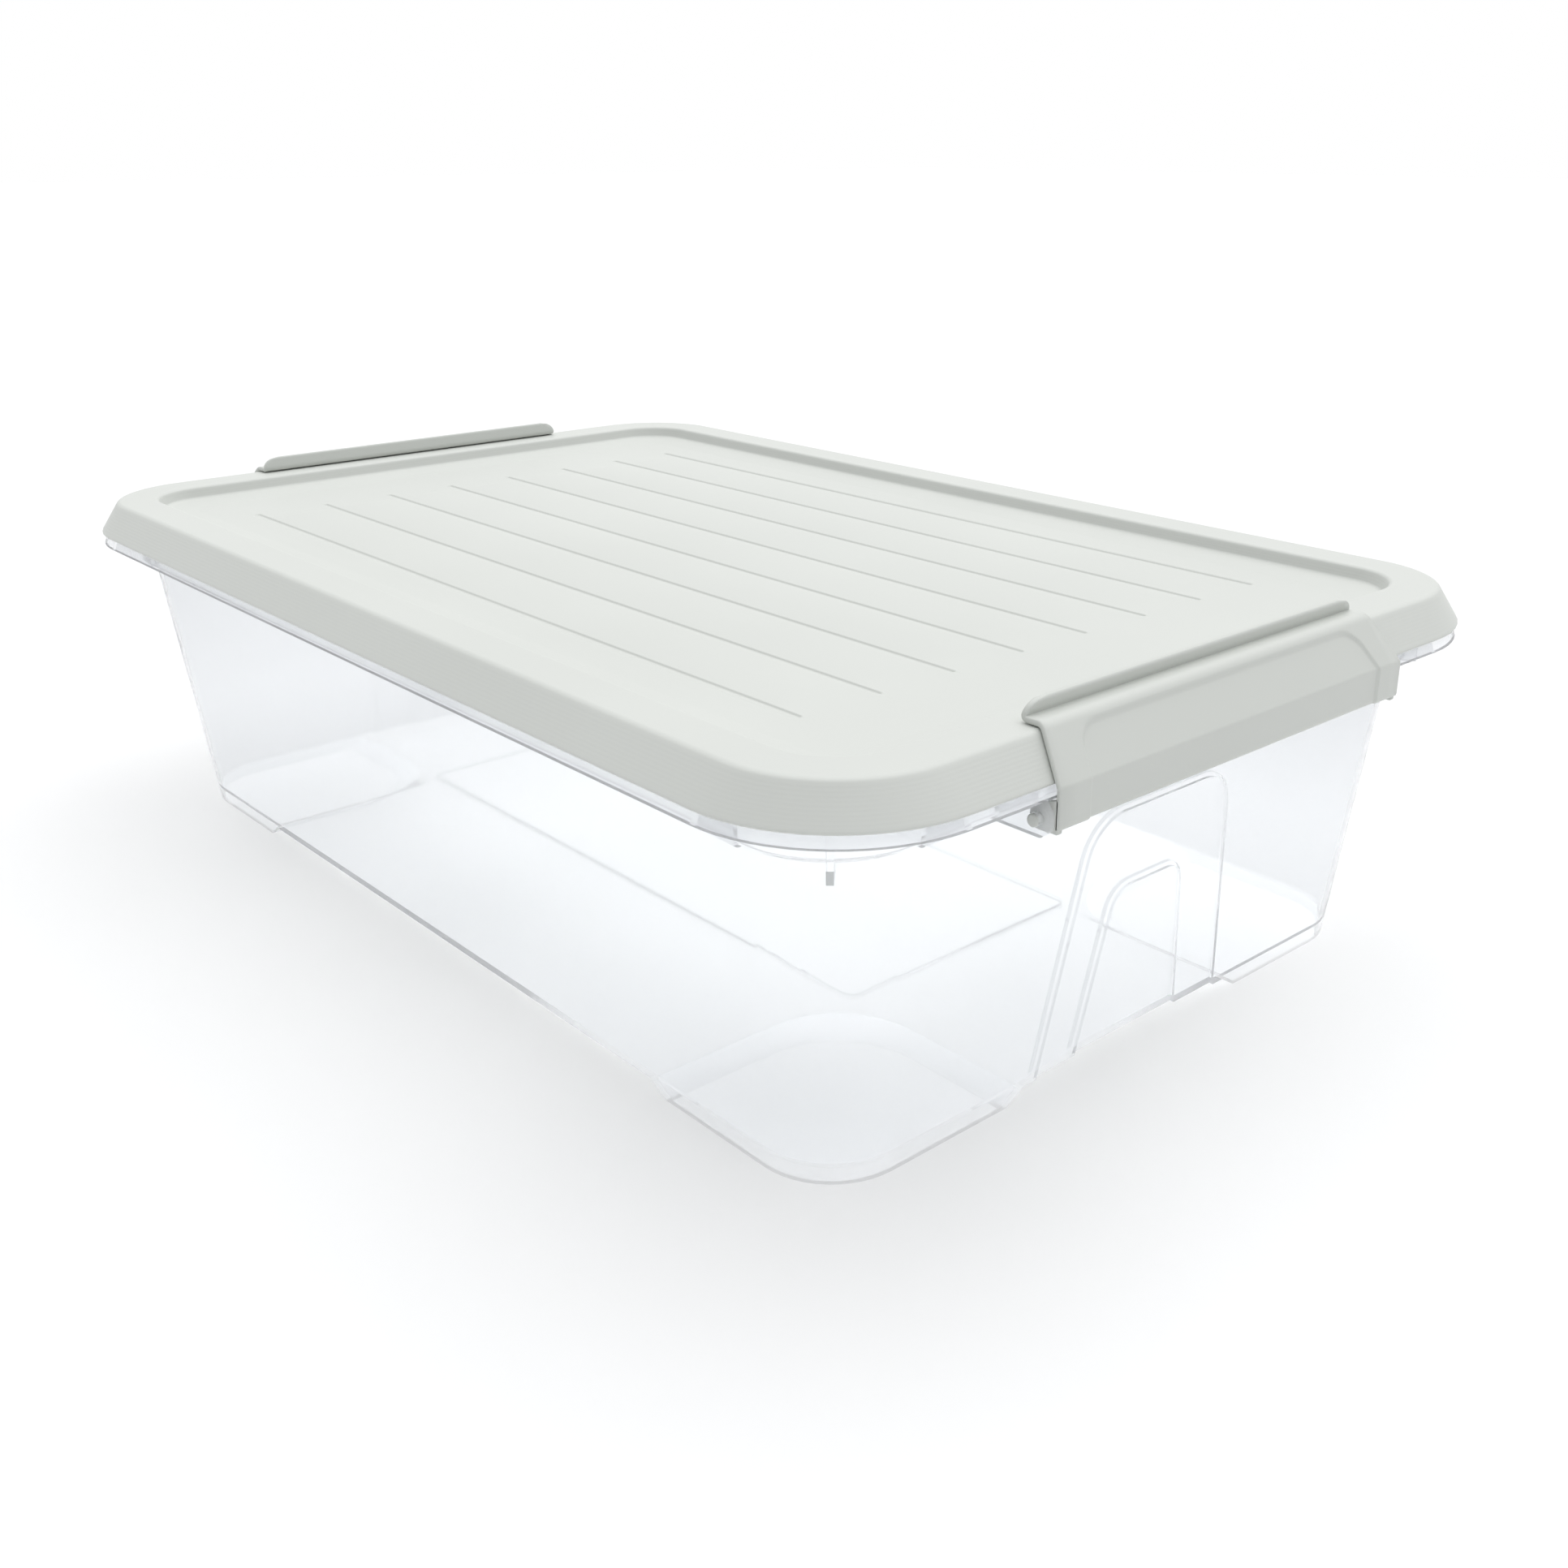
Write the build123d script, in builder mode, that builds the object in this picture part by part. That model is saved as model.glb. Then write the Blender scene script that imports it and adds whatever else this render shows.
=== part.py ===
"""Under-bed storage box: clear tapered tub, opaque ribbed lid and two hinged end clips.

Frame: millimetres, +Z up, origin at the centre of the footprint on the floor.
X runs along the length, so the clips are at the +X and -X ends.
"""

from build123d import *
import math
import os

# ---------------------------------------------------------------- driving dimensions
skin = 2.0  # wall thickness of the mouldings
running_gap = 0.5  # free gap between parts that move past each other

# Tub body: outside sizes as (length, width, corner radius, height above the floor)
foot_plan = (521.8, 321.4, 31.5, 0.0)
body_top = (546.8, 343.4, 34.0, 128.5)
foot_height = 5.8
shoulder_width = 5.0  # the rim wall stands this far outside the body wall
shoulder_rise = 3.0
rim_corner = 38.0
rim_draft = 0.8
rim_top_z = 159.7

# Downturned lip around the rim
flange_plan = (574.4, 364.4, 44.0)
lip_knee = (594.0, 384.0, 58.0, 147.5)
lip_foot = (598.0, 388.0, 60.0, 142.5)
lip_skin = 1.8

# Foot pads under the four corners
pad_start_x = 171.0
pad_start_y = 71.0
pad_reach = 160.0
pad_slope = 9.0  # the pad's inner sides run out this far over the foot height
pad_corner = 40.0
pad_skin = 2.4

# Stepped arches pressed into both end walls: half width at the floor, half width at the
# top, top height and top corner radius
arch_outer = (56.2, 39.2, 110.0, 18.0)
arch_inner = (32.0, 19.6, 75.0, 10.0)
arch_step = 1.8
arch_back_growth = 1.6  # the wall behind each step is drawn out this far round the arch
arch_overrun = 20.0  # the outline carries on this far below the floor so it stays open

# Raised strip along the floor between the feet
floor_strip = (342.0, 134.0, 6.0)
floor_strip_rise = 1.2

# Gussets between the rim wall and the lip
gusset_skin = 2.4
corner_gusset_foot_z = 126.0
corner_gusset_inset = 13.0  # outer edge of the corner gusset, inside the lid's outline
corner_centre_x = 239.0
corner_centre_y = 134.0
gusset_root_stand_out = 0.4  # the side gussets start this far off the rim wall
gusset_root_drop = 1.0  # and this far below its foot

# Lid: outside sizes as (length, width, corner radius, height)
skirt_foot = (600.0, 390.0, 61.0, 147.5)
lid_top = (577.4, 367.4, 45.0, 162.0)
skirt_skin = 2.5  # taken level; square to the flared skirt it is the common skin
lid_edge_radius = 3.5
recess_mouth = (538.0, 330.0, 26.0)
recess_foot = (533.0, 325.0, 24.0, 156.5)
recess_edge_radius = 1.5
panel_plan = (503.0, 295.0, 12.0, 155.0)

# Ribbed field on the lid: long low pillows parted by narrow grooves
pillow_count = 7
pillow_pitch = 36.7
pillow_width = 33.4
pillow_length = 414.0
pillow_run_out = 12.0  # the crown dies away over this length at both ends
pillow_crown = 1.2
groove_length = 430.0
groove_width = 2.6
groove_depth = 0.7

# Clips: profile along the middle of the skin, seen along Y
clip_skin = 2.2
clip_half_length = 99.2
clip_top_half_length = 93.5
band_x = 302.4
band_foot_z = 133.3
clip_clearance = 0.45  # gap between the clip and the lid, square to the skirt
lip_x = 281.0
lip_lean = 1.0  # the finger lip leans outwards this far over its height
clip_top_z = 170.2
fold_radius = 1.6
ledge_radius = 4.0
finger_lip_radius = 2.0
finger_lip_half_length = 91.0
finger_lip_end_radius = 9.0
face_recess_depth = 0.8
face_recess_half_foot = 84.0
face_recess_half_top = 79.0
face_recess_top_z = 161.0
face_recess_corner = 8.0

# Hinge of the clips
pivot_x = 295.0
pivot_z = 135.5
stub_radius = 2.25
stub_gap = 0.05  # radial running fit of the stub in its ear
stub_stand_out = 0.8  # the stub's end shows this far beyond the ear
web_skin = 2.4
web_nose_radius = 4.0
web_nose_fillet = 3.8
web_heel_radius = 1.0
web_foot_drop = 1.8  # the web reaches this far below the foot of the band
web_head_drop = 3.6  # and stops this far below the fold
middle_margin = 1.0  # room round the stub where the clip's middle is cut clear
ear_skin = 2.5
ear_foot_z = 130.3
ear_foot_x = 298.4
ear_front_x = 301.6
ear_front_foot_z = 133.6
ear_front_top_z = 138.6
ear_shoulder = (298.3, 143.4)
ear_neck_x = 296.1
ear_head_x = 286.6
ear_corner = 2.5
ear_overlap = 1.0  # the ear runs up this far into the flange
ear_inner_y = clip_half_length + running_gap
ear_outer_y = ear_inner_y + ear_skin

# ---------------------------------------------------------------- shared shapes


def tapered_block(low, high):
    """Straight-sided block between two level rounded rectangles (length, width, corner, z)."""
    with BuildPart() as block:
        for length, width, corner, height in (low, high):
            with BuildSketch(Plane.XY.offset(height)):
                RectangleRounded(length, width, corner)
        loft(ruled=True)
    return block.part


def grown(plan, amount):
    """The same rounded rectangle and height with every side moved outwards by amount."""
    length, width, corner, height = plan
    return (length + 2 * amount, width + 2 * amount, corner + amount, height)


def at(plan, height):
    """A rounded rectangle moved to another height."""
    return (*plan[:3], height)


def between(low, high, height):
    """The rounded rectangle at a height on the straight taper from low to high."""
    share = (height - low[3]) / (high[3] - low[3])
    return tuple(start + (end - start) * share for start, end in zip(low, high))


def end_prism(outline, radii, half_length):
    """Closed outline in X and Z, filleted, run along Y over both half lengths."""
    with BuildPart() as prism:
        with BuildSketch(Plane.XZ):
            with BuildLine():
                FilletPolyline(*outline, radius=radii, close=True)
            make_face()
        extrude(amount=half_length, both=True)
    return prism.part


# ---------------------------------------------------------------- tub
floor_top_z = foot_height + skin
shoulder_z = body_top[3]
rim_foot = (
    body_top[0] + 2 * shoulder_width,
    body_top[1] + 2 * shoulder_width,
    rim_corner,
    shoulder_z + shoulder_rise,
)
rim_top = (rim_foot[0] + 2 * rim_draft, rim_foot[1] + 2 * rim_draft, rim_corner, rim_top_z)
flange_top = at(flange_plan + (0.0,), rim_top_z)
flange_under_z = rim_top_z - skin
body_foot = between(foot_plan, body_top, foot_height)
body_floor = between(foot_plan, body_top, floor_top_z)
lip_slope_top = between(lip_knee, flange_top, flange_under_z)

body_hollow = tapered_block(grown(body_floor, -skin), grown(body_top, -skin))
shoulder_hollow = tapered_block(grown(body_top, -skin), grown(rim_foot, -skin))
rim_hollow = tapered_block(grown(rim_foot, -skin), grown(rim_top, -skin))

wall_lean = math.atan2(body_top[0] - foot_plan[0], 2 * body_top[3])
end_wall = Plane(
    origin=(foot_plan[0] / 2, 0, 0),
    x_dir=(0, 1, 0),
    z_dir=(math.cos(wall_lean), 0, -math.sin(wall_lean)),
)


def arch_block(arch, growth, depth):
    """Arch outline grown all round, from a depth inside the end wall to well outside it."""
    half_foot, half_top, top, corner = arch
    slant = (half_foot - half_top) / top
    low_half = half_foot + growth + slant * arch_overrun
    high_half = half_top + growth - slant * growth
    with BuildPart() as block:
        with BuildSketch(end_wall.offset(-depth)):
            with BuildLine():
                FilletPolyline(
                    (-low_half, -arch_overrun),
                    (-high_half, top + growth),
                    (high_half, top + growth),
                    (low_half, -arch_overrun),
                    radius=(0, corner + growth, corner + growth, 0),
                    close=True,
                )
            make_face()
        extrude(amount=depth + 2 * skin)
    return block.part


def both_ends(block):
    """A block for the +X end together with its mirror image at the -X end."""
    with BuildPart() as pair:
        add(block)
        mirror(about=Plane.YZ)
    return pair.part


def pad_blocks(inset):
    """Blocks with sloping sides over the four corners, drawn in all round by inset."""
    with BuildPart() as pads:
        for side_x in (-1, 1):
            for side_y in (-1, 1):
                centre_x = side_x * (pad_start_x + pad_reach / 2)
                centre_y = side_y * (pad_start_y + pad_reach / 2)
                size = pad_reach - 2 * inset
                with BuildSketch(Plane.XY):
                    with Locations((centre_x, centre_y)):
                        RectangleRounded(size, size, pad_corner - inset)
                with BuildSketch(Plane.XY.offset(foot_height)):
                    with Locations((centre_x, centre_y)):
                        RectangleRounded(size + 2 * pad_slope, size + 2 * pad_slope, pad_corner - inset)
                loft(ruled=True)
    return pads.part


with BuildPart() as pad_pockets:
    add(tapered_block(grown(foot_plan, -pad_skin), grown(body_foot, -pad_skin)))
    add(pad_blocks(pad_skin), mode=Mode.INTERSECT)

with BuildPart() as feet:
    add(tapered_block(foot_plan, body_foot))
    add(pad_blocks(0.0), mode=Mode.INTERSECT)
    add(pad_pockets.part, mode=Mode.SUBTRACT)

# Space between the rim wall and the lip, where the gussets stand
lip_space_foot = grown(lip_foot, -lip_skin / 2)
lip_space_knee = grown(lip_knee, -lip_skin / 2)
lip_space_top = grown(lip_slope_top, -lip_skin / 2)
rib_foot = at(grown(rim_foot, gusset_root_stand_out), rim_foot[3] - gusset_root_drop)

with BuildPart() as side_ribs:
    for side in (-1, 1):
        with Locations((side * corner_centre_x, 0, rim_top_z / 2)):
            Box(gusset_skin, lip_foot[1], rim_top_z)
        with Locations((0, side * corner_centre_y, rim_top_z / 2)):
            Box(lip_foot[0], gusset_skin, rim_top_z)
with BuildPart() as side_gussets:
    add(tapered_block(rib_foot, lip_space_foot))
    add(tapered_block(lip_space_foot, lip_space_knee))
    add(tapered_block(lip_space_knee, lip_space_top))
    add(side_ribs.part, mode=Mode.INTERSECT)

with BuildPart() as corner_plates:
    for side_x in (-1, 1):
        for side_y in (-1, 1):
            with Locations(
                Location(
                    (side_x * corner_centre_x, side_y * corner_centre_y, rim_top_z / 2),
                    (0, 0, 45 * side_x * side_y),
                )
            ):
                Box(lip_foot[2] * 2, gusset_skin, rim_top_z)
corner_limit = grown(skirt_foot, -corner_gusset_inset)
with BuildPart() as corner_gussets:
    add(tapered_block(at(corner_limit, corner_gusset_foot_z), at(corner_limit, flange_under_z)))
    add(corner_plates.part, mode=Mode.INTERSECT)

# Ears that carry the clips: one plate just outside each end of each clip
ear_root_x = rim_foot[0] / 2 - skin
ear_head_z = flange_under_z + ear_overlap
ear_outline = (
    (ear_root_x, ear_foot_z),
    (ear_foot_x, ear_foot_z),
    (ear_front_x, ear_front_foot_z),
    (ear_front_x, ear_front_top_z),
    ear_shoulder,
    (ear_neck_x, lip_knee[3]),
    (ear_head_x, ear_head_z),
    (ear_root_x, ear_head_z),
)
ear_radii = (0, ear_corner, ear_corner, ear_corner, 0, 0, 0, 0)
ear_plate = end_prism(ear_outline, ear_radii, ear_outer_y)
with BuildPart() as ears:
    add(both_ends(ear_plate))
    Box(lip_foot[0] * 2, ear_inner_y * 2, rim_top_z * 2, mode=Mode.SUBTRACT)
    for side in (-1, 1):
        with Locations(Location((side * pivot_x, 0, pivot_z), (90, 0, 0))):
            Cylinder(stub_radius + stub_gap, ear_outer_y * 3, mode=Mode.SUBTRACT)

with BuildPart() as arch_backs:
    add(both_ends(arch_block(arch_outer, arch_back_growth, arch_step + skin)))
    add(both_ends(arch_block(arch_inner, arch_back_growth, 2 * arch_step + skin)))

with BuildPart() as arch_fronts:
    add(both_ends(arch_block(arch_outer, 0.0, arch_step)))
    add(both_ends(arch_block(arch_inner, 0.0, 2 * arch_step)))

with BuildPart() as body_space:
    add(body_hollow)
    add(arch_backs.part, mode=Mode.SUBTRACT)

with BuildPart() as tub:
    add(tapered_block(lip_foot, lip_knee))
    add(tapered_block(lip_knee, flange_top))
    add(tapered_block(grown(lip_foot, -lip_skin), grown(lip_knee, -lip_skin)), mode=Mode.SUBTRACT)
    add(tapered_block(grown(lip_knee, -lip_skin), grown(lip_slope_top, -lip_skin)), mode=Mode.SUBTRACT)
    add(tapered_block(body_foot, body_top))
    add(tapered_block(body_top, rim_foot))
    add(tapered_block(rim_foot, rim_top))
    add(side_gussets.part)
    add(corner_gussets.part)
    add(ears.part)
    add(body_space.part, mode=Mode.SUBTRACT)
    add(shoulder_hollow, mode=Mode.SUBTRACT)
    add(rim_hollow, mode=Mode.SUBTRACT)
    add(arch_fronts.part, mode=Mode.SUBTRACT)
    with BuildSketch(Plane.XY.offset(floor_top_z)):
        RectangleRounded(*floor_strip)
    extrude(amount=floor_strip_rise)
    with BuildSketch(Plane.XY.offset(foot_height)):
        RectangleRounded(*floor_strip)
    extrude(amount=floor_strip_rise, mode=Mode.SUBTRACT)
    add(feet.part)

# ---------------------------------------------------------------- lid
lid_under_z = lid_top[3] - skin
skirt_under = between(grown(skirt_foot, -skirt_skin), grown(lid_top, -skirt_skin), lid_under_z)
recess_lip = at(recess_mouth + (0.0,), lid_top[3])
panel_under_z = panel_plan[3] - skin
pan_knee = at(grown(recess_foot, skin), recess_foot[3] - skin)

with BuildPart() as pan_outside:
    add(tapered_block(at(grown(panel_plan, skin), panel_under_z), pan_knee))
    add(tapered_block(pan_knee, grown(recess_lip, skin)))

with BuildPart() as lid_space:
    add(tapered_block(grown(skirt_foot, -skirt_skin), skirt_under))
    add(pan_outside.part, mode=Mode.SUBTRACT)


def pillow_blocks(base_z):
    """The row of crowned pillows, each standing on a level face at base_z."""
    with BuildPart() as pillows:
        for index in range(pillow_count):
            centre_y = (index - (pillow_count - 1) / 2) * pillow_pitch
            with BuildSketch(Plane.YZ):
                with BuildLine():
                    ThreePointArc(
                        (centre_y - pillow_width / 2, base_z),
                        (centre_y, base_z + pillow_crown),
                        (centre_y + pillow_width / 2, base_z),
                    )
                    Line((centre_y + pillow_width / 2, base_z), (centre_y - pillow_width / 2, base_z))
                make_face()
            extrude(amount=pillow_length / 2, both=True)
        half = pillow_length / 2
        with BuildSketch(Plane.XZ):
            with BuildLine():
                Polyline(
                    (-half, base_z),
                    (pillow_run_out - half, base_z + pillow_crown),
                    (half - pillow_run_out, base_z + pillow_crown),
                    (half, base_z),
                    close=True,
                )
            make_face()
        extrude(amount=panel_plan[1], both=True, mode=Mode.INTERSECT)
    return pillows.part


with BuildPart() as lid:
    add(tapered_block(skirt_foot, lid_top))
    fillet(lid.faces().sort_by(Axis.Z)[-1].edges(), radius=lid_edge_radius)
    add(lid_space.part, mode=Mode.SUBTRACT)
    add(tapered_block(panel_plan, recess_foot), mode=Mode.SUBTRACT)
    add(tapered_block(recess_foot, recess_lip), mode=Mode.SUBTRACT)
    add(pillow_blocks(panel_plan[3]))
    add(pillow_blocks(panel_under_z), mode=Mode.SUBTRACT)
    for index in range(pillow_count + 1):
        with BuildSketch(Plane.XY.offset(panel_plan[3] - groove_depth)):
            with Locations((0, (index - pillow_count / 2) * pillow_pitch)):
                SlotOverall(groove_length, groove_width)
        extrude(amount=groove_depth, mode=Mode.SUBTRACT)

# ---------------------------------------------------------------- clips
skirt_run = (skirt_foot[0] - lid_top[0]) / 2
skirt_fall = lid_top[3] - skirt_foot[3]
skirt_length = math.hypot(skirt_run, skirt_fall)


def beside_skirt(distance, height):
    """X of a line parallel to the lid's skirt, outside it by distance, at a height."""
    return skirt_foot[0] / 2 + distance * skirt_length / skirt_fall - skirt_run / skirt_fall * (
        height - skirt_foot[3]
    )


def fold_height(distance, upright_x):
    """Height where the line beside the skirt meets an upright line."""
    offset_x = skirt_foot[0] / 2 + distance * skirt_length / skirt_fall
    return skirt_foot[3] + (offset_x - upright_x) * skirt_fall / skirt_run


middle_gap = clip_clearance + clip_skin / 2
ledge_z = lid_top[3] + middle_gap
outer_gap = clip_clearance + clip_skin
recess_gap = outer_gap - face_recess_depth
recess_x = band_x + clip_skin / 2 - face_recess_depth
fold_z = fold_height(middle_gap, band_x)

recess_outline = (
    (recess_x, band_foot_z - skin),
    (recess_x, fold_height(recess_gap, recess_x)),
    (beside_skirt(recess_gap, clip_top_z), clip_top_z),
    (band_x + 2 * clip_skin, clip_top_z),
    (band_x + 2 * clip_skin, band_foot_z - skin),
)

with BuildPart() as face_recess:
    with BuildSketch(Plane.YZ):
        with BuildLine():
            FilletPolyline(
                (-face_recess_half_foot, band_foot_z - skin),
                (-face_recess_half_foot, fold_z),
                (-face_recess_half_top, face_recess_top_z),
                (face_recess_half_top, face_recess_top_z),
                (face_recess_half_foot, fold_z),
                (face_recess_half_foot, band_foot_z - skin),
                radius=(0, 0, face_recess_corner, face_recess_corner, 0, 0),
                close=True,
            )
        make_face()
    extrude(amount=skirt_foot[0])
    add(end_prism(recess_outline, (0, 0, 0, 0, 0), clip_half_length), mode=Mode.INTERSECT)

# Outline of the clip seen along X
with BuildPart() as clip_limit:
    with BuildSketch(Plane.YZ):
        with BuildLine():
            FilletPolyline(
                (-clip_half_length, band_foot_z - skin),
                (-clip_half_length, fold_z),
                (-clip_top_half_length, ledge_z),
                (-finger_lip_half_length, clip_top_z),
                (finger_lip_half_length, clip_top_z),
                (clip_top_half_length, ledge_z),
                (clip_half_length, fold_z),
                (clip_half_length, band_foot_z - skin),
                radius=(0, 0, 0, finger_lip_end_radius, finger_lip_end_radius, 0, 0, 0),
                close=True,
            )
        make_face()
    extrude(amount=skirt_foot[0])

web_outline = (
    (pivot_x - web_nose_radius, pivot_z - web_nose_radius),
    (band_x, band_foot_z - web_foot_drop),
    (band_x, fold_z - web_head_drop),
    (pivot_x - web_nose_radius, pivot_z + web_nose_radius),
)
web_radii = (web_nose_fillet, web_heel_radius, 0, web_nose_fillet)

with BuildPart() as web_plates:
    add(end_prism(web_outline, web_radii, clip_half_length))
    Box(
        skirt_foot[0] * 2,
        2 * (clip_half_length - web_skin),
        clip_top_z * 3,
        mode=Mode.SUBTRACT,
    )

with BuildPart() as clip_right:
    with BuildSketch(Plane.XZ):
        with BuildLine():
            FilletPolyline(
                (band_x, band_foot_z),
                (band_x, fold_z),
                (beside_skirt(middle_gap, ledge_z), ledge_z),
                (lip_x, ledge_z),
                (lip_x + lip_lean, clip_top_z),
                radius=(fold_radius, ledge_radius, finger_lip_radius),
            )
        trace(line_width=clip_skin)
    extrude(amount=clip_half_length, both=True)
    add(clip_limit.part, mode=Mode.INTERSECT)
    add(face_recess.part, mode=Mode.SUBTRACT)
    add(web_plates.part)
    with Locations(Location((pivot_x, 0, pivot_z), (90, 0, 0))):
        Cylinder(stub_radius, 2 * (ear_outer_y + stub_stand_out))
    Box(
        2 * (pivot_x + stub_radius + middle_margin),
        2 * (clip_half_length - web_skin),
        2 * (pivot_z + stub_radius + middle_margin),
        mode=Mode.SUBTRACT,
    )

with BuildPart() as clip_left:
    add(clip_right.part)
    mirror(about=Plane.YZ, mode=Mode.REPLACE)

# ---------------------------------------------------------------- parts
tub.part.label = "tub"
lid.part.label = "lid"
clip_right.part.label = "clip_right"
clip_left.part.label = "clip_left"

os.makedirs("parts", exist_ok=True)
export_step(tub.part, "parts/tub.step")
export_step(lid.part, "parts/lid.step")
export_step(clip_right.part, "parts/clip_right.step")
export_step(clip_left.part, "parts/clip_left.step")
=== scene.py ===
"""Under-bed storage box: clear tub, pale grey lid and two end clips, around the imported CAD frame."""

import math

import bmesh
import bpy
import numpy as np
from mathutils import Matrix, Vector


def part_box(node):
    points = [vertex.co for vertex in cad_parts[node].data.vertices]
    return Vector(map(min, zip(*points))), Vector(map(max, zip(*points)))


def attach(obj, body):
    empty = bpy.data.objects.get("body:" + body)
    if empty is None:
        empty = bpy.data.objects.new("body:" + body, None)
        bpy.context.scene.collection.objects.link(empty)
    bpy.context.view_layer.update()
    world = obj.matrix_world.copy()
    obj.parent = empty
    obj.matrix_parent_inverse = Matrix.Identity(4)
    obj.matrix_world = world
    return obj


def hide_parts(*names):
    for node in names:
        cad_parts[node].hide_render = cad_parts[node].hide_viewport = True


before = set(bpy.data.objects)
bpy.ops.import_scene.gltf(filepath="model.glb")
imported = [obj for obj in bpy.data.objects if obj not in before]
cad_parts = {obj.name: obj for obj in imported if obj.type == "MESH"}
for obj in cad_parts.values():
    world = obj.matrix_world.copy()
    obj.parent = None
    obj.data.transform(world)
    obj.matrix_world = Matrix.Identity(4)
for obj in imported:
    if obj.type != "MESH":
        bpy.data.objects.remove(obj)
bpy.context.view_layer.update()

MM = 0.001

MERGE_DISTANCE = 0.02  # vertices closer than this are one
DISSOLVE_DISTANCE = 0.005

# ---------------------------------------------------------------- mesh helpers


def rounded_path(points, radii, steps=6, support=0.35):
    """2-D polyline with its inner corners rounded; short supporting runs keep the flats flat."""
    path = [np.array(points[0], float)]
    for index in range(1, len(points) - 1):
        before, corner, after = (np.array(points[index + k], float) for k in (-1, 0, 1))
        radius = radii[index - 1]
        to_before = (before - corner) / np.linalg.norm(before - corner)
        to_after = (after - corner) / np.linalg.norm(after - corner)
        half = math.acos(float(np.clip(to_before @ to_after, -1, 1))) / 2
        reach = radius / math.tan(half)
        bisector = (to_before + to_after) / np.linalg.norm(to_before + to_after)
        centre = corner + bisector * radius / math.sin(half)
        start = corner + to_before * reach
        end = corner + to_after * reach
        path.append(start + to_before * support)
        angle_0 = math.atan2(*(start - centre)[::-1])
        angle_1 = math.atan2(*(end - centre)[::-1])
        turn = (angle_1 - angle_0 + math.pi) % (2 * math.pi) - math.pi
        for step in range(steps + 1):
            angle = angle_0 + turn * step / steps
            path.append(centre + radius * np.array((math.cos(angle), math.sin(angle))))
        path.append(end + to_after * support)
    path.append(np.array(points[-1], float))
    return np.array(path)


def smooth_step(low, high, value):
    """0 below low, 1 above high, with an S-shaped run between."""
    share = np.clip((value - low) / (high - low), 0, 1)
    return share * share * (3 - 2 * share)


def make_object(name, vertices, faces):
    """Mesh object in metres from points in millimetres, closed up and smooth shaded."""
    mesh = bpy.data.meshes.new(name)
    mesh.from_pydata([tuple(float(v) * MM for v in point) for point in vertices], [], faces)
    tidy = bmesh.new()
    tidy.from_mesh(mesh)
    bmesh.ops.remove_doubles(tidy, verts=tidy.verts, dist=MERGE_DISTANCE * MM)
    bmesh.ops.dissolve_degenerate(tidy, edges=tidy.edges, dist=DISSOLVE_DISTANCE * MM)
    bmesh.ops.recalc_face_normals(tidy, faces=tidy.faces)
    tidy.to_mesh(mesh)
    tidy.free()
    mesh.shade_smooth()
    piece = bpy.data.objects.new(name, mesh)
    bpy.context.collection.objects.link(piece)
    return piece


class RingMesh:
    """Closed skin built from level rings round a rounded rectangle, ending in two grids."""

    def __init__(self, grid_x, grid_y, corner_steps=14):
        self.grid_x = np.array(grid_x, float)
        self.grid_y = np.array(grid_y, float)
        self.corner_steps = corner_steps
        self.vertices = []
        self.faces = []
        self.last = None

    def outline(self, half_x, half_y, radius):
        """Points anticlockwise from the foot of the +X side."""
        flat_x = half_x - radius
        flat_y = half_y - radius
        share_x = self.grid_x / self.grid_x[-1]
        share_y = self.grid_y / self.grid_y[-1]
        corner = [math.pi / 2 * k / self.corner_steps for k in range(1, self.corner_steps)]
        points = []
        points += [(half_x, s * flat_y) for s in share_y]
        points += [(flat_x + radius * math.cos(a), flat_y + radius * math.sin(a)) for a in corner]
        points += [(s * flat_x, half_y) for s in share_x[::-1]]
        points += [(-flat_x - radius * math.sin(a), flat_y + radius * math.cos(a)) for a in corner]
        points += [(-half_x, s * flat_y) for s in share_y[::-1]]
        points += [(-flat_x - radius * math.cos(a), -flat_y - radius * math.sin(a)) for a in corner]
        points += [(s * flat_x, -half_y) for s in share_x]
        points += [(flat_x + radius * math.sin(a), -flat_y - radius * math.cos(a)) for a in corner]
        return points

    def add_points(self, points):
        first = len(self.vertices)
        self.vertices += points
        return list(range(first, len(self.vertices)))

    def add_ring(self, points):
        """Joins a ring of 3-D points to the ring before it."""
        ring = self.add_points(points)
        if self.last is not None:
            count = len(ring)
            for k in range(count):
                after = (k + 1) % count
                self.faces.append((self.last[k], self.last[after], ring[after], ring[k]))
        self.last = ring

    def add_grid(self, height):
        """Rectangular field of height(x, y), with its border joined to the last ring."""
        columns, rows = len(self.grid_x), len(self.grid_y)
        grid = [self.add_points([(x, y, height(x, y)) for y in self.grid_y]) for x in self.grid_x]
        for i in range(columns - 1):
            for j in range(rows - 1):
                self.faces.append((grid[i][j], grid[i + 1][j], grid[i + 1][j + 1], grid[i][j + 1]))
        skip = self.corner_steps - 1
        border = list(grid[-1]) + [grid[-1][-1]] * skip
        border += [grid[i][-1] for i in range(columns - 1, -1, -1)] + [grid[0][-1]] * skip
        border += list(grid[0][::-1]) + [grid[0][0]] * skip
        border += [grid[i][0] for i in range(columns)] + [grid[-1][0]] * skip
        if self.last is None:
            self.last = border
            return
        count = len(border)
        for k in range(count):
            after = (k + 1) % count
            face = [self.last[k], self.last[after], border[after], border[k]]
            if border[after] == border[k]:
                face = face[:3]
            if self.last[after] == self.last[k]:
                face = face[1:]
            self.faces.append(tuple(face))

    def build(self, name):
        return make_object(name, self.vertices, self.faces)


# ---------------------------------------------------------------- lid

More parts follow.
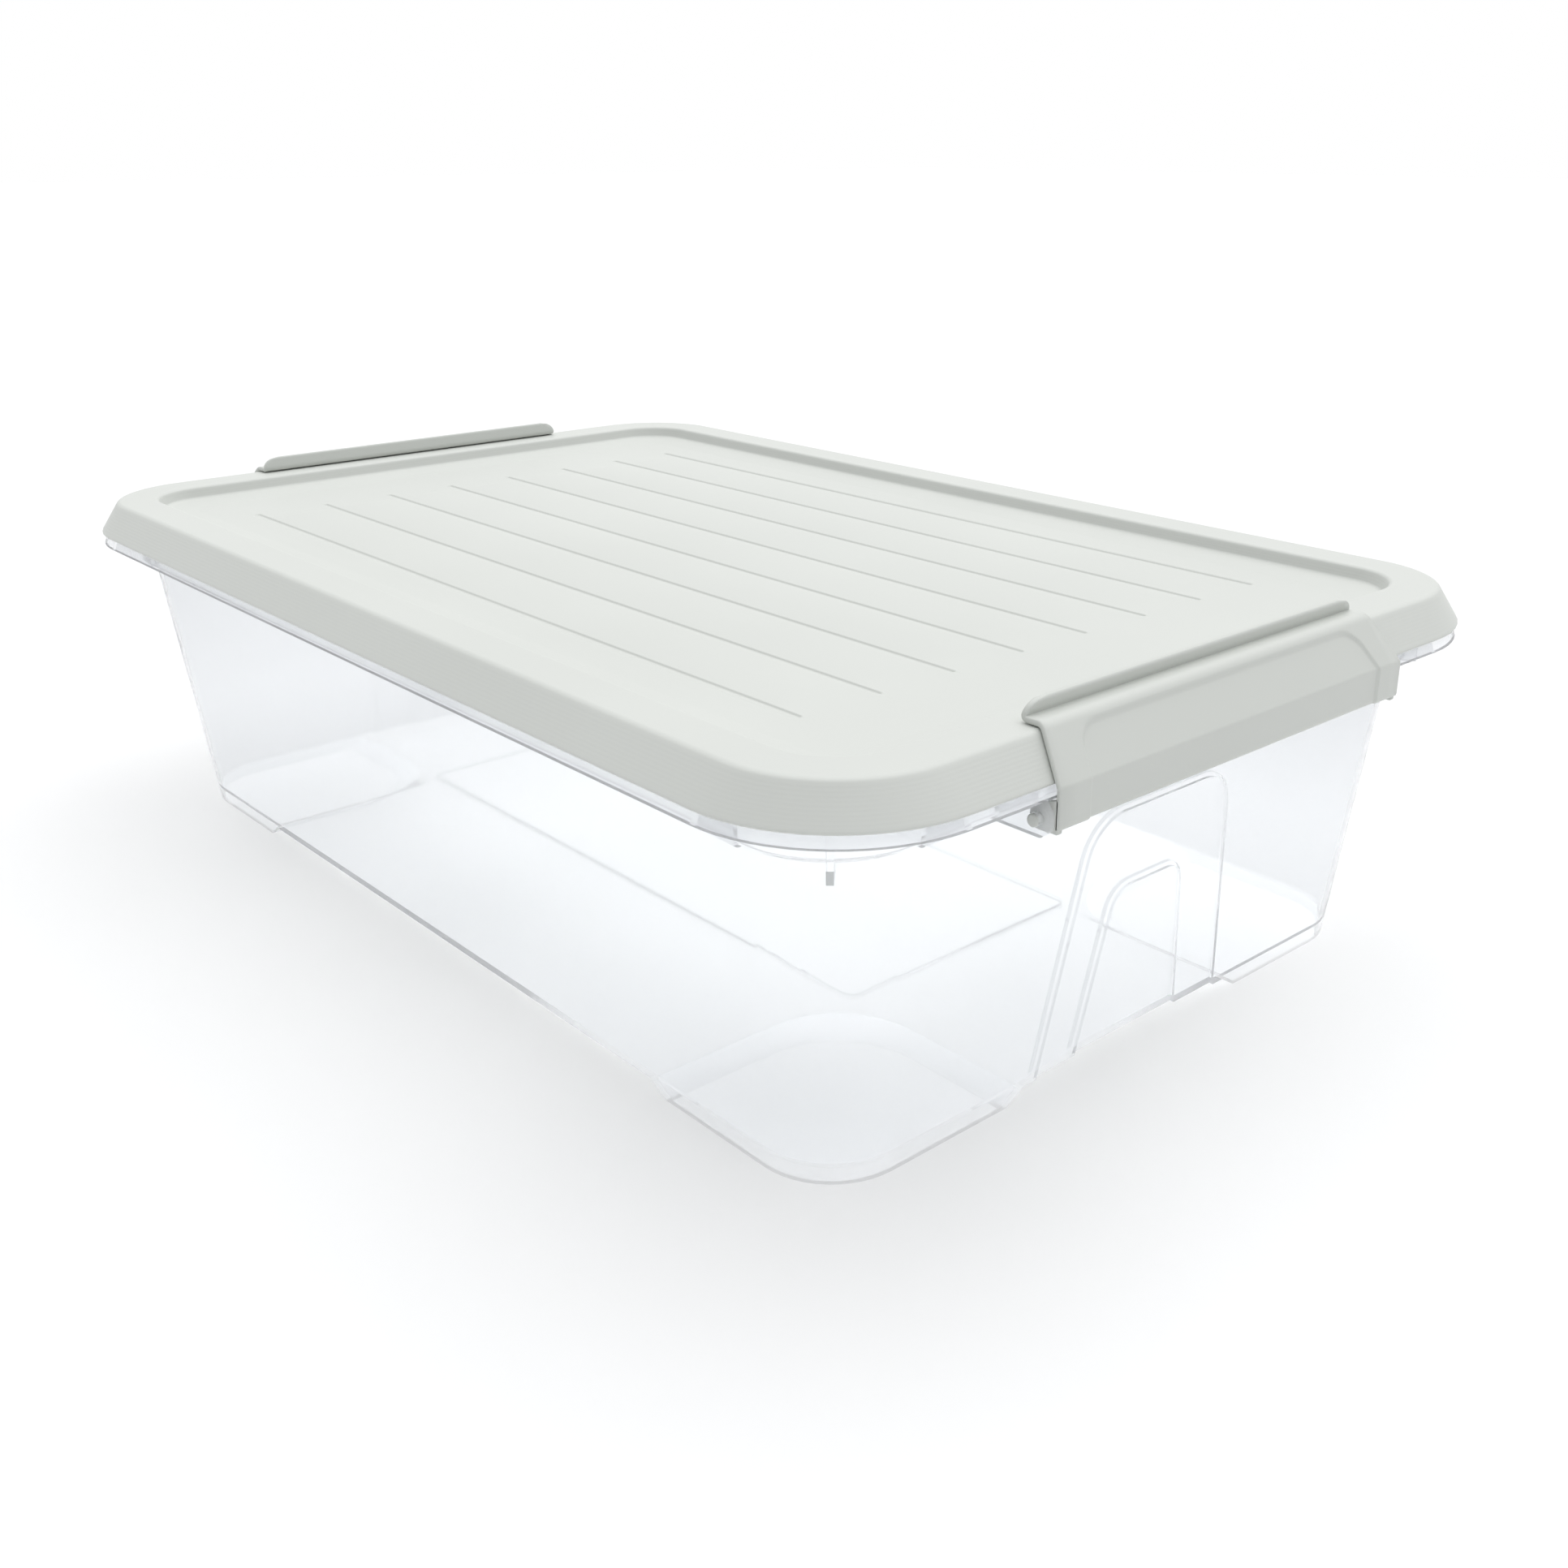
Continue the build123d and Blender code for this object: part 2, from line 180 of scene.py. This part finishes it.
LID_KEYS = (  # half length, half width, corner radius of the lid's outline, outside to inside
    (251.5, 147.5, 12.0),
    (266.5, 162.5, 24.0),
    (269.0, 165.0, 26.0),
    (288.7, 183.7, 45.0),
    (300.0, 195.0, 61.0),
)
LID_FOOT_Z = 147.5
LID_RIM_Z = 162.0
LID_SKIN = 2.0
RECESS_FOOT_Z = 156.5
PANEL_Z = 155.0
PILLOWS = 7
PILLOW_PITCH = 36.7
PILLOW_WIDTH = 33.4
PILLOW_HALF_LENGTH = 207.0
PILLOW_RUN_OUT = 14.0
PILLOW_CROWN = 1.15
GROOVE_HALF_LENGTH = 214.0
GROOVE_HALF_WIDTH = 1.6
GROOVE_DEPTH = 0.7
GROOVE_FLAT = 0.55  # share of the groove's half width that lies level
FIELD_HALF_X = 217.5
FIELD_HALF_Y = 132.5
SKIRT_FOOT_X = 300.0
SKIRT_TOP_X = 288.7
SKIRT_SKIN = 2.5  # taken level
RIM_INNER_X = 269.0
RECESS_FOOT_X = 266.5
PANEL_EDGE_X = 251.5
PANEL_INNER_X = 240.0
UNDER_PANEL_X = 253.5
UNDER_RECESS_X = 268.5
UNDER_RIM_X = 270.3
SMALLEST_CORNER = 1.0
LID_RADII = (1.5, 1.0, 1.5, 0.7, 0.7, 3.6, 2.2, 1.8, 12.0)  # at the profile's inner corners
GROOVE_STEPS = (-1.0, -0.85, -0.7, -0.55, 0.0, 0.55, 0.7, 0.85, 1.0)
PILLOW_STEPS = (-0.98, -0.8, -0.55, -0.28, 0.0, 0.28, 0.55, 0.8, 0.98)
FIELD_MIDDLE_LINES = (0.0, 45.0, 90.0, 135.0, 170.0)
FIELD_END_LINE = 209.0


def lid_outline(half_x):
    """Half width and corner radius of the lid's outline at a half length."""
    keys = np.array(LID_KEYS)
    half_y = float(np.interp(half_x, keys[:, 0], keys[:, 1]))
    radius = float(np.interp(half_x, keys[:, 0], keys[:, 2]))
    return half_y, radius


def pillow_height(x, y):
    """Low crowned pillows, each dying away at its ends."""
    row = round(y / PILLOW_PITCH)
    across = abs(y - row * PILLOW_PITCH) / (PILLOW_WIDTH / 2)
    if abs(row) > PILLOWS // 2 or across >= 1:
        return 0.0
    along = 1 - smooth_step(PILLOW_HALF_LENGTH - PILLOW_RUN_OUT, PILLOW_HALF_LENGTH, abs(x))
    return PILLOW_CROWN * (1 - across**2) * float(along)


def groove_drop(x, y):
    """Depth of the round-ended grooves between the pillows."""
    half_pitch = PILLOW_PITCH / 2
    row = round((y - half_pitch) / PILLOW_PITCH)
    if not -PILLOWS / 2 - 1 < row < PILLOWS / 2:
        return 0.0
    across = abs(y - half_pitch - row * PILLOW_PITCH)
    past_end = max(abs(x) - (GROOVE_HALF_LENGTH - GROOVE_HALF_WIDTH), 0.0)
    distance = math.hypot(across, past_end)
    side = smooth_step(GROOVE_HALF_WIDTH * GROOVE_FLAT, GROOVE_HALF_WIDTH, distance)
    return GROOVE_DEPTH * (1 - float(side))


def field_lines():
    """Grid lines over the ribbed field: close together at grooves and at the ends."""
    ends = [PILLOW_HALF_LENGTH - PILLOW_RUN_OUT * k / 6 for k in range(7)]
    ends += [GROOVE_HALF_LENGTH - GROOVE_HALF_WIDTH * k / 4 for k in range(6)]
    ends += [FIELD_HALF_X, FIELD_END_LINE, *FIELD_MIDDLE_LINES]
    lines_x = sorted({round(s * x, 3) for x in ends for s in (-1, 1)})
    lines_y = [-FIELD_HALF_Y, FIELD_HALF_Y]
    for row in range(PILLOWS + 1):
        centre = (row - PILLOWS / 2) * PILLOW_PITCH
        for step in GROOVE_STEPS:
            lines_y.append(centre + step * GROOVE_HALF_WIDTH)
    for row in range(-(PILLOWS // 2), PILLOWS // 2 + 1):
        for step in PILLOW_STEPS:
            lines_y.append(row * PILLOW_PITCH + step * PILLOW_WIDTH / 2)
    return lines_x, sorted({round(y, 3) for y in lines_y})


def build_lid():
    """One moulding: flared skirt, flat rim, sunken panel with grooves and pillows."""
    slope = (SKIRT_FOOT_X - SKIRT_TOP_X) / (LID_RIM_Z - LID_FOOT_Z)
    under_rim_z = LID_RIM_Z - LID_SKIN
    profile = (
        (UNDER_PANEL_X, PANEL_Z - LID_SKIN),
        (UNDER_RECESS_X, RECESS_FOOT_Z - LID_SKIN),
        (UNDER_RIM_X, under_rim_z),
        (SKIRT_FOOT_X - SKIRT_SKIN - slope * (under_rim_z - LID_FOOT_Z), under_rim_z),
        (SKIRT_FOOT_X - SKIRT_SKIN, LID_FOOT_Z),
        (SKIRT_FOOT_X, LID_FOOT_Z),
        (SKIRT_TOP_X, LID_RIM_Z),
        (RIM_INNER_X, LID_RIM_Z),
        (RECESS_FOOT_X, RECESS_FOOT_Z),
        (PANEL_EDGE_X, PANEL_Z),
        (PANEL_INNER_X, PANEL_Z),
    )
    mesh = RingMesh(*field_lines())
    mesh.add_grid(lambda x, y: PANEL_Z - LID_SKIN + pillow_height(x, y))
    inmost_x, inmost_y, inmost_radius = LID_KEYS[0]
    for half_x, height in rounded_path(profile, LID_RADII):
        half_y, radius = lid_outline(half_x)
        if half_x < inmost_x:
            half_y = inmost_y - (inmost_x - half_x)
            radius = max(inmost_radius - (inmost_x - half_x), SMALLEST_CORNER)
        mesh.add_ring([(x, y, height) for x, y in mesh.outline(half_x, half_y, radius)])
    mesh.add_grid(lambda x, y: PANEL_Z + pillow_height(x, y) - groove_drop(x, y))
    return mesh.build("lid_moulding")


# ---------------------------------------------------------------- clips

CLIP_SKIN = 2.2
BAND_X = 302.4
BAND_FOOT_Z = 133.3
CLIP_GAP = 0.45
CLIP_LIP_X = 281.0
CLIP_LIP_LEAN = 1.4
CLIP_TOP_Z = 169.9
CLIP_HALF_LENGTH = 99.2
CLIP_TOP_HALF_LENGTH = 93.5
CLIP_LIP_HALF_LENGTH = 84.5
CLIP_RECESS = 0.9
PIVOT_X = 295.0
PIVOT_Z = 135.5
STUB_RADIUS = 2.25
STUB_END = 103.0
STUB_POINTS = 32
STUB_ROOT = 1.0  # the stub starts this far inside the clip's end
STUB_LAYERS = ((0.5, 0.0), (0.15, 0.2), (0.0, 0.6))  # distance before its end, drawn in by
WEB_SKIN = 2.4
WEB_EDGE = 0.4
WEB_EDGE_DRAW = 0.3
WEB_START_Z = 137.0
WEB_NOSE = 4.0
WEB_HEAD_DROP = 3.6
WEB_FOOT_DROP = 1.8
WEB_RADII = (0.3, 3.8, 3.8, 0.5)
FOLD_RADII = (1.8, 4.4, 1.2)
PATH_STEP = 0.9
LEDGE_START_X = 288.0
LIP_CORNER_POWER = 2.2  # above 2 the lip's corners are squarer than an ellipse
RECESS_HALF_FOOT = 84.0
RECESS_HALF_TOP = 79.0
RECESS_TOP_Z = 160.6
RECESS_CORNER = 8.0
RECESS_SLOPE = 0.7  # half the run of the recess's side
CLIP_EDGE_RADIUS = 0.45
END_MARGIN = 1.5
COARSE_STATIONS = (0.0, 12.0, 24.0, 36.0, 48.0, 60.0, 68.0, 88.0, 91.0)


def clip_middle_line():
    """Middle of the clip's skin in X and Z, from the band's foot to the finger lip's top."""
    run = SKIRT_FOOT_X - SKIRT_TOP_X
    rise = LID_RIM_Z - LID_FOOT_Z
    length = math.hypot(run, rise)
    gap = CLIP_GAP + CLIP_SKIN / 2
    ledge_z = LID_RIM_Z + gap
    beside_x = SKIRT_FOOT_X + gap * length / rise
    fold_z = LID_FOOT_Z + (beside_x - BAND_X) * rise / run
    ledge_x = beside_x - run / rise * (ledge_z - LID_FOOT_Z)
    points = (
        (BAND_X, BAND_FOOT_Z),
        (BAND_X, fold_z),
        (ledge_x, ledge_z),
        (CLIP_LIP_X, ledge_z),
        (CLIP_LIP_X + CLIP_LIP_LEAN, CLIP_TOP_Z),
    )
    return rounded_path(points, FOLD_RADII, steps=8, support=0.5), fold_z, ledge_z


def refine(path, step):
    """Adds points on the path so that no run is longer than step."""
    finer = [path[0]]
    for start, end in zip(path, path[1:]):
        count = max(1, math.ceil(float(np.linalg.norm(end - start)) / step))
        finer += [start + (end - start) * k / count for k in range(1, count + 1)]
    return np.array(finer)


def build_clip(side):
    """Bent clip with a shallow recessed face panel, end webs and pivot stubs."""
    path, fold_z, ledge_z = clip_middle_line()
    path = refine(path, PATH_STEP)
    tangent = np.gradient(path, axis=0)
    tangent /= np.linalg.norm(tangent, axis=1)[:, None]
    normal = np.stack((tangent[:, 1], -tangent[:, 0]), axis=1)
    travel = np.concatenate(([0.0], np.cumsum(np.linalg.norm(np.diff(path, axis=0), axis=1))))
    total = travel[-1]
    fold_s = float(np.interp(fold_z, path[:, 1], travel))
    ledge_s = float(travel[np.argmin(np.abs(path[:, 0] - LEDGE_START_X))])
    lip_s = total - (CLIP_TOP_Z - ledge_z)
    recess_top_s = float(travel[np.argmin(np.abs(path[:, 1] - RECESS_TOP_Z))])

    def half_length(s):
        lengths = (CLIP_HALF_LENGTH,) * 2 + (CLIP_TOP_HALF_LENGTH,) * 2
        base = np.interp(s, (0, fold_s, ledge_s, total), lengths)
        rise = np.clip((s - lip_s) / (total - lip_s), 0, 1)
        draw_in = 1 - math.sqrt(max(1 - rise**LIP_CORNER_POWER, 0))
        return float(base - (CLIP_TOP_HALF_LENGTH - CLIP_LIP_HALF_LENGTH) * draw_in)

    def recess(s, y):
        half = np.interp(s, (0, fold_s, recess_top_s), (RECESS_HALF_FOOT,) * 2 + (RECESS_HALF_TOP,))
        dy = max(abs(y) - (half - RECESS_CORNER), 0.0)
        ds = max(s - (recess_top_s - RECESS_CORNER), 0.0)
        inside = RECESS_CORNER - math.hypot(dy, ds)
        return CLIP_RECESS * float(smooth_step(-RECESS_SLOPE, RECESS_SLOPE, inside))

    fine = [RECESS_HALF_TOP + 0.45 * k for k in range(-3, 15)] + [70.5 + 1.1 * k for k in range(8)]
    marks = sorted({round(v, 3) for v in (*fine, *COARSE_STATIONS)})
    marks = sorted({s * v for v in marks for s in (-1, 1)})

    vertices = []
    outer = []
    inner = []
    for index, s in enumerate(travel):
        half = half_length(s)
        stations = [y for y in marks if abs(y) < half - END_MARGIN]
        count = len(marks)
        if len(stations) < count:
            line = np.interp(np.linspace(0, 1, count), np.linspace(0, 1, len(stations)), stations)
        else:
            line = np.array(marks, float)
        line = np.concatenate(([-half, -half + CLIP_EDGE_RADIUS], line, [half - CLIP_EDGE_RADIUS, half]))
        row_out = []
        row_in = []
        for place, y in enumerate(line):
            at_end = place in (0, len(line) - 1)
            at_tip = index in (0, len(travel) - 1)
            pull = CLIP_EDGE_RADIUS if at_end or at_tip else 0.0
            sunk = 0.0 if at_end else recess(s, y)
            out = path[index] + normal[index] * (CLIP_SKIN / 2 - pull - sunk)
            back = path[index] - normal[index] * (CLIP_SKIN / 2 - pull)
            row_out.append(len(vertices))
            vertices.append((side * out[0], y, out[1]))
            row_in.append(len(vertices))
            vertices.append((side * back[0], y, back[1]))
        outer.append(row_out)
        inner.append(row_in)
    faces = []
    rows, columns = len(outer), len(outer[0])
    for i in range(rows - 1):
        for j in range(columns - 1):
            faces.append((outer[i][j], outer[i + 1][j], outer[i + 1][j + 1], outer[i][j + 1]))
            faces.append((inner[i][j], inner[i][j + 1], inner[i + 1][j + 1], inner[i + 1][j]))
        for j in (0, columns - 1):
            faces.append((outer[i][j], outer[i + 1][j], inner[i + 1][j], inner[i][j]))
    for j in range(columns - 1):
        for i in (0, rows - 1):
            faces.append((outer[i][j], outer[i][j + 1], inner[i][j + 1], inner[i][j]))

    web = rounded_path(
        (
            (BAND_X, WEB_START_Z),
            (BAND_X, fold_z - WEB_HEAD_DROP),
            (PIVOT_X - WEB_NOSE, PIVOT_Z + WEB_NOSE),
            (PIVOT_X - WEB_NOSE, PIVOT_Z - WEB_NOSE),
            (BAND_X, BAND_FOOT_Z - WEB_FOOT_DROP),
            (BAND_X, WEB_START_Z),
        ),
        WEB_RADII,
        steps=5,
        support=0.1,
    )[:-1]
    web_layers = (
        (CLIP_HALF_LENGTH - WEB_SKIN, 0.0),
        (CLIP_HALF_LENGTH - WEB_EDGE, 0.0),
        (CLIP_HALF_LENGTH, WEB_EDGE_DRAW),
    )
    turn = [2 * math.pi * k / STUB_POINTS for k in range(STUB_POINTS)]
    round_end = np.array([(math.cos(a), math.sin(a)) for a in turn])
    stub = np.array((PIVOT_X, PIVOT_Z)) + STUB_RADIUS * round_end
    stub_layers = [(CLIP_HALF_LENGTH - STUB_ROOT, 0.0)]
    stub_layers += [(STUB_END - before, draw_in) for before, draw_in in STUB_LAYERS]
    for end in (-1, 1):
        add_prism(vertices, faces, web, web_layers, side, end)
        add_prism(vertices, faces, stub, stub_layers, side, end)
    name = "clip_right_moulding" if side > 0 else "clip_left_moulding"
    return make_object(name, vertices, faces)


def add_prism(vertices, faces, outline, layers, side, end):
    """Prism along Y from an outline in X and Z, drawn in by an amount at each layer."""
    middle = outline.mean(axis=0)
    rings = []
    for y, draw_in in layers:
        ring = []
        for point in outline:
            ray = point - middle
            scale = 1 - draw_in / np.linalg.norm(ray)
            place = middle + ray * scale
            ring.append(len(vertices))
            vertices.append((side * place[0], end * y, place[1]))
        rings.append(ring)
    count = len(outline)
    for low, high in zip(rings, rings[1:]):
        for k in range(count):
            after = (k + 1) % count
            faces.append((low[k], low[after], high[after], high[k]))
    faces.append(tuple(rings[0]))
    faces.append(tuple(rings[-1][::-1]))


# ---------------------------------------------------------------- tub

TUB_EDGE_RADIUS = 0.5
TUB_SHARP_ANGLE = math.radians(28)
TUB_MERGE_DISTANCE = 0.003
TUB_BEVEL_MERGE_DISTANCE = 0.002
NORMAL_WEIGHT = 80


def build_tub():
    """The tub's own shape with every moulded edge rounded over."""
    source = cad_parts["tub"]
    mesh = source.data.copy()
    mesh.name = "tub_moulding"
    work = bmesh.new()
    work.from_mesh(mesh)
    bmesh.ops.remove_doubles(work, verts=work.verts, dist=TUB_MERGE_DISTANCE * MM)
    sharp = [
        edge
        for edge in work.edges
        if len(edge.link_faces) == 2 and edge.calc_face_angle(0.0) > TUB_SHARP_ANGLE
    ]
    bmesh.ops.bevel(
        work,
        geom=sharp,
        offset=TUB_EDGE_RADIUS * MM,
        offset_type="OFFSET",
        segments=3,
        profile=0.5,
        affect="EDGES",
        clamp_overlap=True,
        miter_outer="ARC",
    )
    bmesh.ops.remove_doubles(work, verts=work.verts, dist=TUB_BEVEL_MERGE_DISTANCE * MM)
    bmesh.ops.recalc_face_normals(work, faces=work.faces)
    work.to_mesh(mesh)
    work.free()
    mesh.shade_smooth()
    piece = bpy.data.objects.new("tub_moulding", mesh)
    bpy.context.collection.objects.link(piece)
    weight = piece.modifiers.new("weighted_normals", "WEIGHTED_NORMAL")
    weight.keep_sharp = True
    weight.weight = NORMAL_WEIGHT
    return piece


# ---------------------------------------------------------------- materials

LID_COLOR = (0.665, 0.683, 0.65)
LID_ROUGHNESS = 0.5
LID_LINES = 0.15
CLIP_COLOR = (0.645, 0.664, 0.63)
CLIP_ROUGHNESS = 0.45
TONE_SHARE = 0.975  # the darker patches against the plain colour
ROUGHNESS_SPREAD = 0.05


def new_material(name):
    material = bpy.data.materials.new(name)
    material.use_nodes = True
    return material, material.node_tree, material.node_tree.nodes["Principled BSDF"]


def grained_plastic(name, color, roughness, line_strength):
    """Opaque moulded polypropylene: fine grain, slight tone variation, faint tooling lines."""
    material, tree, shader = new_material(name)
    coordinates = tree.nodes.new("ShaderNodeTexCoord")
    grain = tree.nodes.new("ShaderNodeTexNoise")
    grain.inputs["Scale"].default_value = 1400.0
    grain.inputs["Detail"].default_value = 3.0
    cloud = tree.nodes.new("ShaderNodeTexNoise")
    cloud.inputs["Scale"].default_value = 9.0
    cloud.inputs["Detail"].default_value = 2.0
    tree.links.new(coordinates.outputs["Object"], grain.inputs["Vector"])
    tree.links.new(coordinates.outputs["Object"], cloud.inputs["Vector"])
    tone = tree.nodes.new("ShaderNodeValToRGB")
    tone.color_ramp.elements[0].position = 0.3
    tone.color_ramp.elements[0].color = tuple(c * TONE_SHARE for c in color) + (1,)
    tone.color_ramp.elements[1].position = 0.7
    tone.color_ramp.elements[1].color = tuple(color) + (1,)
    tree.links.new(cloud.outputs["Fac"], tone.inputs["Fac"])
    tree.links.new(tone.outputs["Color"], shader.inputs["Base Color"])
    spread = tree.nodes.new("ShaderNodeMapRange")
    spread.inputs["To Min"].default_value = roughness - ROUGHNESS_SPREAD
    spread.inputs["To Max"].default_value = roughness + ROUGHNESS_SPREAD
    tree.links.new(grain.outputs["Fac"], spread.inputs["Value"])
    tree.links.new(spread.outputs["Result"], shader.inputs["Roughness"])
    bump = tree.nodes.new("ShaderNodeBump")
    bump.inputs["Strength"].default_value = 0.06
    bump.inputs["Distance"].default_value = 0.0002
    tree.links.new(grain.outputs["Fac"], bump.inputs["Height"])
    lines = tree.nodes.new("ShaderNodeTexWave")
    lines.bands_direction = "Z"
    lines.inputs["Scale"].default_value = 262.0
    tooling = tree.nodes.new("ShaderNodeBump")
    tooling.inputs["Strength"].default_value = line_strength
    tooling.inputs["Distance"].default_value = 0.0001
    tree.links.new(coordinates.outputs["Object"], lines.inputs["Vector"])
    tree.links.new(lines.outputs["Fac"], tooling.inputs["Height"])
    tree.links.new(bump.outputs["Normal"], tooling.inputs["Normal"])
    tree.links.new(tooling.outputs["Normal"], shader.inputs["Normal"])
    return material


def clear_plastic(name):
    """Clear plastic with a slight haze; a low index keeps its many edges pale."""
    material, tree, shader = new_material(name)
    shader.inputs["Base Color"].default_value = (0.98, 0.988, 1.0, 1)
    shader.inputs["Transmission Weight"].default_value = 0.8
    shader.inputs["IOR"].default_value = 1.1
    coordinates = tree.nodes.new("ShaderNodeTexCoord")
    haze = tree.nodes.new("ShaderNodeTexNoise")
    haze.inputs["Scale"].default_value = 14.0
    tree.links.new(coordinates.outputs["Object"], haze.inputs["Vector"])
    spread = tree.nodes.new("ShaderNodeMapRange")
    spread.inputs["To Min"].default_value = 0.05
    spread.inputs["To Max"].default_value = 0.12
    tree.links.new(haze.outputs["Fac"], spread.inputs["Value"])
    tree.links.new(spread.outputs["Result"], shader.inputs["Roughness"])
    return material


# ---------------------------------------------------------------- camera, light and floor

CAMERA_PLACE = (605.0, -461.0, 334.2)
CAMERA_AZIMUTH = math.radians(-42.48)
CAMERA_ELEVATION = math.radians(21.92)
SUN_ANGLE = math.radians(84)
SUN_ENERGY = 2.25
SUN_TRAVEL = (0.08, -0.24, -1.0)
FILL_ENERGY = 0.67
FILL_SPREAD = math.radians(120)
FILL_SHARE = (0.8, 0.75)  # of the lid's length and width
FILL_DROP = 0.002  # metres below the lid
WORLD_FILL = 0.42
FLOOR_HALF = 14.0


def add_camera():
    """Three-quarter view from above the +X, -Y corner."""
    position = Vector(CAMERA_PLACE) * MM
    view = Vector(
        (
            -math.cos(CAMERA_ELEVATION) * math.cos(CAMERA_AZIMUTH),
            -math.cos(CAMERA_ELEVATION) * math.sin(CAMERA_AZIMUTH),
            -math.sin(CAMERA_ELEVATION),
        )
    )
    data = bpy.data.cameras.new("camera")
    data.lens = 37.40
    data.sensor_width = 36.0
    data.shift_x = -0.0465
    data.shift_y = 0.0058
    data.clip_start = 0.01
    data.clip_end = 50.0
    camera = bpy.data.objects.new("camera", data)
    turned = view.to_track_quat("-Z", "Y").to_matrix().to_4x4()
    camera.matrix_world = Matrix.Translation(position) @ turned
    bpy.context.collection.objects.link(camera)
    bpy.context.scene.camera = camera


def add_skylight():
    """Very soft light from overhead and from the +Y side, even over the whole floor."""
    data = bpy.data.lights.new("skylight", "SUN")
    data.energy = SUN_ENERGY
    data.angle = SUN_ANGLE
    light = bpy.data.objects.new("skylight", data)
    travel = Vector(SUN_TRAVEL)
    light.matrix_world = travel.to_track_quat("-Z", "Y").to_matrix().to_4x4()
    bpy.context.collection.objects.link(light)


def add_inside_fill():
    """Fill under the lid, so that the clear tub is as bright inside as the studio around it."""
    low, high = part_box("lid")
    data = bpy.data.lights.new("inside_fill", "AREA")
    data.shape = "RECTANGLE"
    data.size = (high[0] - low[0]) * FILL_SHARE[0]
    data.size_y = (high[1] - low[1]) * FILL_SHARE[1]
    data.energy = FILL_ENERGY
    data.spread = FILL_SPREAD
    light = bpy.data.objects.new("inside_fill", data)
    light.location = (0, 0, low[2] - FILL_DROP)
    light.visible_camera = False
    light.visible_glossy = False
    light.visible_transmission = False
    bpy.context.collection.objects.link(light)


def add_world():
    """Even surroundings: white to the eye and in reflections, a weaker fill on matt surfaces."""
    world = bpy.data.worlds.new("studio")
    world.use_nodes = True
    tree = world.node_tree
    fill = tree.nodes["Background"]
    fill.inputs["Color"].default_value = (0.965, 0.98, 1.0, 1)
    fill.inputs["Strength"].default_value = WORLD_FILL
    sight = tree.nodes.new("ShaderNodeBackground")
    sight.inputs["Color"].default_value = (1, 1, 1, 1)
    sight.inputs["Strength"].default_value = 1.0
    path = tree.nodes.new("ShaderNodeLightPath")
    mix = tree.nodes.new("ShaderNodeMixShader")
    tree.links.new(path.outputs["Is Diffuse Ray"], mix.inputs["Fac"])
    tree.links.new(sight.outputs["Background"], mix.inputs[1])
    tree.links.new(fill.outputs["Background"], mix.inputs[2])
    tree.links.new(mix.outputs["Shader"], tree.nodes["World Output"].inputs["Surface"])
    bpy.context.scene.world = world
    bpy.context.scene.view_settings.view_transform = "Standard"


def add_floor():
    mesh = bpy.data.meshes.new("floor")
    half = FLOOR_HALF
    corners = [(-half, -half, 0), (half, -half, 0), (half, half, 0), (-half, half, 0)]
    mesh.from_pydata(corners, [], [(0, 1, 2, 3)])
    floor = bpy.data.objects.new("floor", mesh)
    bpy.context.collection.objects.link(floor)
    material, tree, shader = new_material("floor")
    shader.inputs["Base Color"].default_value = (0.97, 0.97, 0.97, 1)
    shader.inputs["Roughness"].default_value = 0.95
    shader.inputs["Specular IOR Level"].default_value = 0.1
    mesh.materials.append(material)


# ---------------------------------------------------------------- assembly


def place(piece, body, node, slot, material):
    piece.data.materials.clear()
    piece.data.materials.append(material)
    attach(piece, body)
    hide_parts(node)


add_camera()
add_world()
add_floor()
add_skylight()
add_inside_fill()

lid_material = grained_plastic("lid_plastic", LID_COLOR, LID_ROUGHNESS, LID_LINES)
clip_material = grained_plastic("clip_plastic", CLIP_COLOR, CLIP_ROUGHNESS, 0.0)
tub_material = clear_plastic("tub_plastic")
tub = build_tub()
place(tub, "tub", "tub", "tub", tub_material)
tub.visible_shadow = False  # clear walls would otherwise shade the floor like solid ones
place(build_lid(), "lid", "lid", "lid", lid_material)
place(build_clip(1), "clip_right", "clip_right", "clips", clip_material)
place(build_clip(-1), "clip_left", "clip_left", "clips", clip_material)
